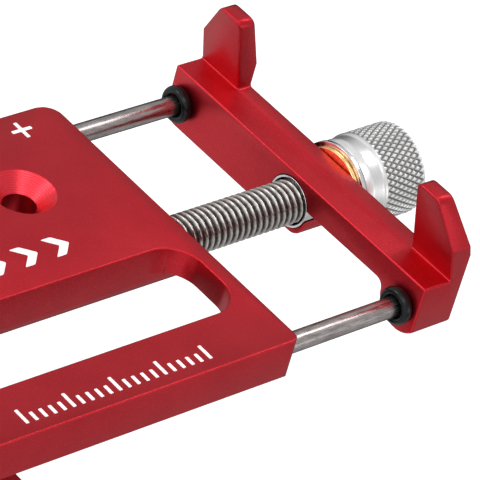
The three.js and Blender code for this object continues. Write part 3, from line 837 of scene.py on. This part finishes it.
# %% [markdown]
# ## Printed marks
# A plus sign sits near the far corner, three arrowheads show which way the jaw opens, and a row of
# graduations follows the front edge. Each mark is a thin slab with rounded corners, a few hundredths
# of a millimetre high, as screen-printed ink is.

# %% Outlines of ink
INK_THICK = 0.03
INK_SINK = 0.01


def ink_marks(name, outlines, soften):
    """Each outline has its corners rounded and becomes a thin slab: a top, a foot and a wall."""
    points, faces, base = [], [], 0
    for outline in outlines:
        ring = round_corners(outline, soften, closed=True, steps=3)[:-1]
        size = len(ring)
        levels = [np.column_stack([ring, np.full(size, z)]) for z in (-INK_SINK, INK_THICK)]
        points.append(np.vstack(levels))
        step = base + np.arange(size)
        after = base + (np.arange(size) + 1) % size
        faces += np.stack([step, after, size + after, size + step], -1).tolist()
        faces += [(size + step).tolist(), step[::-1].tolist()]
        base += 2 * size
    mesh = bpy.data.meshes.new(name)
    mesh.from_pydata(in_holder(np.vstack(points)), [], faces)
    bm = bmesh.new()
    bm.from_mesh(mesh)
    finish_mesh(mesh, bm)
    return add_object(name, mesh)


def plus_sign(x, y, arm, half):
    """Twelve corners, a quarter turn of three at a time."""
    quarter = np.array([(arm, -half), (arm, half), (half, half)])
    turn_left = np.array([[0, 1], [-1, 0]])
    corners = [quarter @ np.linalg.matrix_power(turn_left, k) for k in range(4)]
    return np.vstack(corners) + (x, y)


def arrowhead(x, y, deep, tall, thick):
    """A chevron that points along +X."""
    return np.array([(x, y - tall), (x + thick, y - tall), (x + deep + thick, y), (x + thick, y + tall),
                     (x, y + tall), (x + deep, y)])


def graduation(x, y, half, tall):
    return np.array([(x - half, y), (x + half, y), (x + half, y + tall), (x - half, y + tall)])


arrows = [arrowhead(x, 1.35, 1.7, 1.75, 1.5) for x in (-28.6, -23.7, -18.8)]
TICK_START, TICK_END, TICK_STEP = -41.0, -12.7, 1.4
tick_x = np.arange(TICK_START, TICK_END, TICK_STEP)
ticks = [graduation(x, -23.5, 0.24, 2.5 if i % 5 == 0 else 1.5) for i, x in enumerate(tick_x)]
plus = [plus_sign(-7.2, 22.0, 1.55, 0.27)]
for name, outlines, soften in (("plus_mark", plus, 0.15), ("arrow_marks", arrows, 0.25),
                               ("graduations", ticks, 0.12)):
    place(ink_marks(name, outlines, soften), "holder", None, ink)

# %% [markdown]
# ## Stage, light and camera
# The mount is shown over a pale floor that nearly fades into the background, in soft light from all
# round. Polished metal shows what is around it, so the floor is kept out of reflections, and the
# bright room is brighter on the left and has one dark flag at the lower right, away from the camera,
# which gives the steel its dark streaks. Five panels add the highlights. The camera has a long lens
# and stands high at the front left, rolled a little.

# %% Floor and background
FLOOR_Z = -0.024
FLOOR_HALF = 3.0


def pale_floor():
    corners = np.array([(-1, -1), (1, -1), (1, 1), (-1, 1)]) * FLOOR_HALF
    points = np.column_stack([corners, np.full(4, FLOOR_Z)])
    mesh = bpy.data.meshes.new("floor")
    mesh.from_pydata(points, [], [(0, 1, 2, 3)])
    floor = add_object("floor", mesh)
    material, _, shader = shader_of("pale_floor", (0.3, 0.3, 0.3), 0.0, 0.9)
    shader.inputs["Emission Color"].default_value = (1, 1, 1, 1)
    shader.inputs["Emission Strength"].default_value = 0.85
    mesh.materials.append(material)
    floor.visible_glossy = False


pale_floor()
print("floor at", FLOOR_Z)

# %% Room
FLAG_SIDE = (0.76, 0.52, -0.38)


def bright_room():
    """White all round. Its strength is the product of three ramps: with height, from left to right,
    and down to nearly nothing towards FLAG_SIDE."""
    world = bpy.data.worlds.new("bright_room")
    world.use_nodes = True
    tree = world.node_tree
    background = tree.nodes["Background"]
    background.inputs["Color"].default_value = (1, 1, 1, 1)
    direction = tree.nodes.new("ShaderNodeTexCoord").outputs["Generated"]
    split = tree.nodes.new("ShaderNodeSeparateXYZ")
    tree.links.new(direction, split.inputs[0])
    towards_flag = tree.nodes.new("ShaderNodeVectorMath")
    towards_flag.operation = "DOT_PRODUCT"
    towards_flag.inputs[1].default_value = FLAG_SIDE
    tree.links.new(direction, towards_flag.inputs[0])
    height_light = remap(tree, split.outputs["Z"], -0.7, 0.6, 0.6, 0.8)
    side_light = remap(tree, split.outputs["X"], -0.8, 0.2, 1.75, 1.0)
    flag = remap(tree, towards_flag.outputs["Value"], 0.62, 0.86, 1.0, 0.05)
    room_light = math_node(tree, "MULTIPLY", height_light, side_light)
    strength = math_node(tree, "MULTIPLY", room_light, flag)
    tree.links.new(strength, background.inputs["Strength"])
    return world


bpy.context.scene.world = bright_room()
bpy.context.scene.view_settings.view_transform = "Standard"
print("room:", bpy.context.scene.world.name)

# %% Lights
def panel(name, offset, size, watts):
    """A soft box at `offset` metres from the holder's origin, which it faces."""
    light = bpy.data.lights.new(name, "AREA")
    light.shape = "RECTANGLE"
    light.size, light.size_y = size
    light.energy = watts
    lamp = bpy.data.objects.new(name, light)
    bpy.context.scene.collection.objects.link(lamp)
    middle = Vector(in_holder((0, 0, 0)))
    lamp.location = middle + Vector(offset)
    lamp.rotation_mode = "QUATERNION"
    lamp.rotation_quaternion = (middle - lamp.location).to_track_quat("-Z", "Y")


panel("left_panel", (-0.6, -0.1, 0.35), (0.4, 0.4), 0.6)
panel("edge_panel", (-0.41, 0.36, 0.43), (0.25, 0.25), 0.8)
panel("rod_panel", (0.43, -0.03, 0.54), (0.2, 0.3), 0.9)
panel("front_panel", (0.25, -0.7, 0.02), (0.5, 0.25), 0.6)
panel("high_panel", (-0.26, -0.32, 0.55), (0.3, 0.3), 0.8)
print("five panels")

# %% Camera
LENS = 307.9
SENSOR = 36.0
DISTANCE = 0.5090
AZIMUTH, ELEVATION, ROLL = (math.radians(a) for a in (-49.72, 36.13, 16.47))
AIM = (5.53, -6.82, -0.26)


def camera_axes(azimuth, elevation, roll):
    """Back, right and up of a camera that looks down at the object, rolled about its own line."""
    back = np.array([math.sin(azimuth) * math.cos(elevation), -math.cos(azimuth) * math.cos(elevation),
                     math.sin(elevation)])
    level = np.array([math.cos(azimuth), math.sin(azimuth), 0])
    above = np.cross(back, level)
    right = math.cos(roll) * level + math.sin(roll) * above
    return back, right, np.cross(back, right)


back, right, up = camera_axes(AZIMUTH, ELEVATION, ROLL)
lens = bpy.data.cameras.new("camera")
lens.lens, lens.sensor_width = LENS, SENSOR
lens.clip_start, lens.clip_end = 0.01, 20
camera = bpy.data.objects.new("camera", lens)
bpy.context.scene.collection.objects.link(camera)
where = in_holder(AIM) + back * DISTANCE
turn = Matrix(np.column_stack([right, up, back]).tolist()).to_4x4()
camera.matrix_world = Matrix.Translation(where) @ turn
bpy.context.scene.camera = camera
print("camera at", np.round(where, 4))
